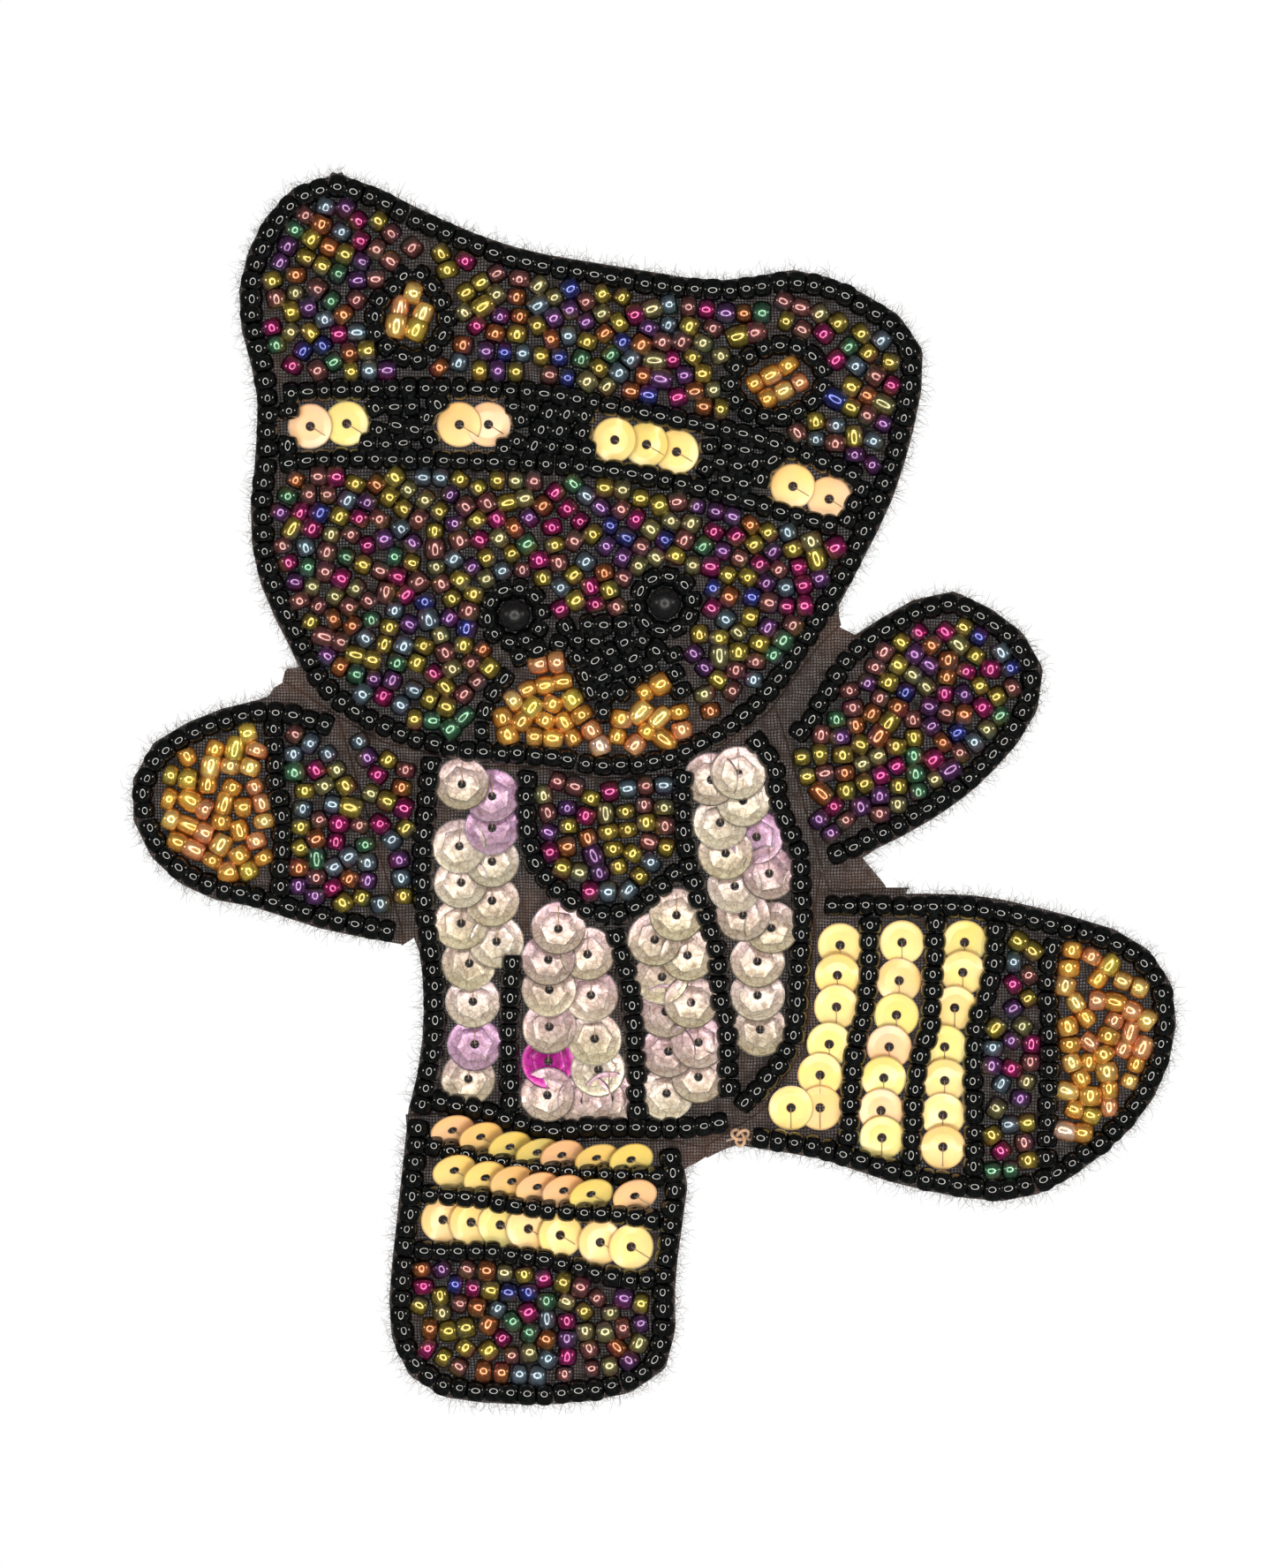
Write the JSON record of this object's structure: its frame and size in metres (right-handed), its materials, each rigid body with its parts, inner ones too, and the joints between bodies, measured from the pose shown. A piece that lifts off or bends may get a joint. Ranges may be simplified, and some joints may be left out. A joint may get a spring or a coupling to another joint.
{
  "type": "beaded bear patch",
  "caption": "Flat teddy bear patch of glass seed beads and sequins hand-sewn to sheer organza, folding at the neck and limb roots.",
  "frame": {"origin": "the mount on the flat back, behind the middle of the torso", "axes": "+Z towards the top of the head, -Y out of the beaded face, +X towards the viewer's right, at the raised arm"},
  "size_m": [0.1166, 0.0036, 0.1378],
  "materials": {
    "organza": "sheer dark plain weave",
    "black_beads": "opaque glossy",
    "iris_beads": "opaque metallic iris",
    "gold_beads": "clear amber with a silver lining",
    "gold_sequins": "pearly champagne gold",
    "pink_sequins": "faceted, pearly mauve and cream",
    "eye_beads": "matt black",
    "tan_thread": "twisted cotton"
  },
  "bodies": {
    "torso": {"torso_cloth": "organza", "torso_left_row": "black_beads", "torso_right_row": "black_beads", "hip_row": "black_beads", "bib_row": "black_beads", "inner_left_row": "black_beads", "middle_row": "black_beads", "inner_right_row": "black_beads", "bib_fill": "iris_beads", "shoulder_fill": "iris_beads", "sequin_strip_1": "pink_sequins", "sequin_strip_2": "pink_sequins", "sequin_strip_3": "pink_sequins", "sequin_strip_4": "pink_sequins"},
    "head": {"head_cloth": "organza", "head_outline_row": "black_beads", "left_ear_row": "black_beads", "right_ear_row": "black_beads", "left_ear_fill": "gold_beads", "right_ear_fill": "gold_beads", "crown_fill": "iris_beads", "forehead_band": "black_beads", "band_sequins_1": "gold_sequins", "band_sequins_2": "gold_sequins", "band_sequins_3": "gold_sequins", "band_sequins_4": "gold_sequins", "face_fill": "iris_beads", "nose_and_eye_rows": "black_beads", "muzzle_fill": "gold_beads", "left_eye": "eye_beads", "right_eye": "eye_beads"},
    "left_arm": {"left_arm_cloth": "organza", "left_arm_outline_row": "black_beads", "cuff_row": "black_beads", "left_arm_fill": "iris_beads", "left_paw_fill": "gold_beads"},
    "right_arm": {"right_arm_cloth": "organza", "right_arm_outline_row": "black_beads", "right_arm_fill": "iris_beads"},
    "left_leg": {"left_leg_cloth": "organza", "left_leg_outline_row": "black_beads", "left_leg_row_1": "black_beads", "left_leg_row_2": "black_beads", "left_leg_row_3": "black_beads", "left_leg_sequins_1": "gold_sequins", "left_leg_sequins_2": "gold_sequins", "left_leg_sequins_3": "gold_sequins", "left_foot_fill": "iris_beads"},
    "right_leg": {"right_leg_cloth": "organza", "right_leg_outline_row": "black_beads", "right_leg_row_1": "black_beads", "right_leg_row_2": "black_beads", "right_leg_row_3": "black_beads", "right_leg_row_4": "black_beads", "right_leg_sequins_1": "gold_sequins", "right_leg_sequins_2": "gold_sequins", "right_leg_sequins_3": "gold_sequins", "right_leg_fill": "iris_beads", "right_paw_fill": "gold_beads", "thread_knot": "tan_thread"}
  },
  "joints": [
    {"name": "neck_fold", "type": "hinge", "parent": "torso", "child": "head", "pos_m": [-0.00499, -0.00015, 0.0222], "axis": [1, 0, 0], "range_deg": [-45, 15]},
    {"name": "left_arm_fold", "type": "hinge", "parent": "torso", "child": "left_arm", "pos_m": [-0.02625, -0.00015, 0.01575], "axis": [-0.2877, 0, 0.9577], "range_deg": [-45, 15]},
    {"name": "right_arm_fold", "type": "hinge", "parent": "torso", "child": "right_arm", "pos_m": [0.02145, -0.00015, 0.01825], "axis": [0.268, 0, -0.9634], "range_deg": [-45, 15]},
    {"name": "left_hip_fold", "type": "hinge", "parent": "torso", "child": "left_leg", "pos_m": [-0.0066, -0.00015, -0.0178], "axis": [-0.9952, 0, 0.0981], "range_deg": [-45, 15]},
    {"name": "right_hip_fold", "type": "hinge", "parent": "torso", "child": "right_leg", "pos_m": [0.02005, -0.00015, -0.0052], "axis": [-0.2051, 0, -0.9787], "range_deg": [-45, 15]}
  ]
}
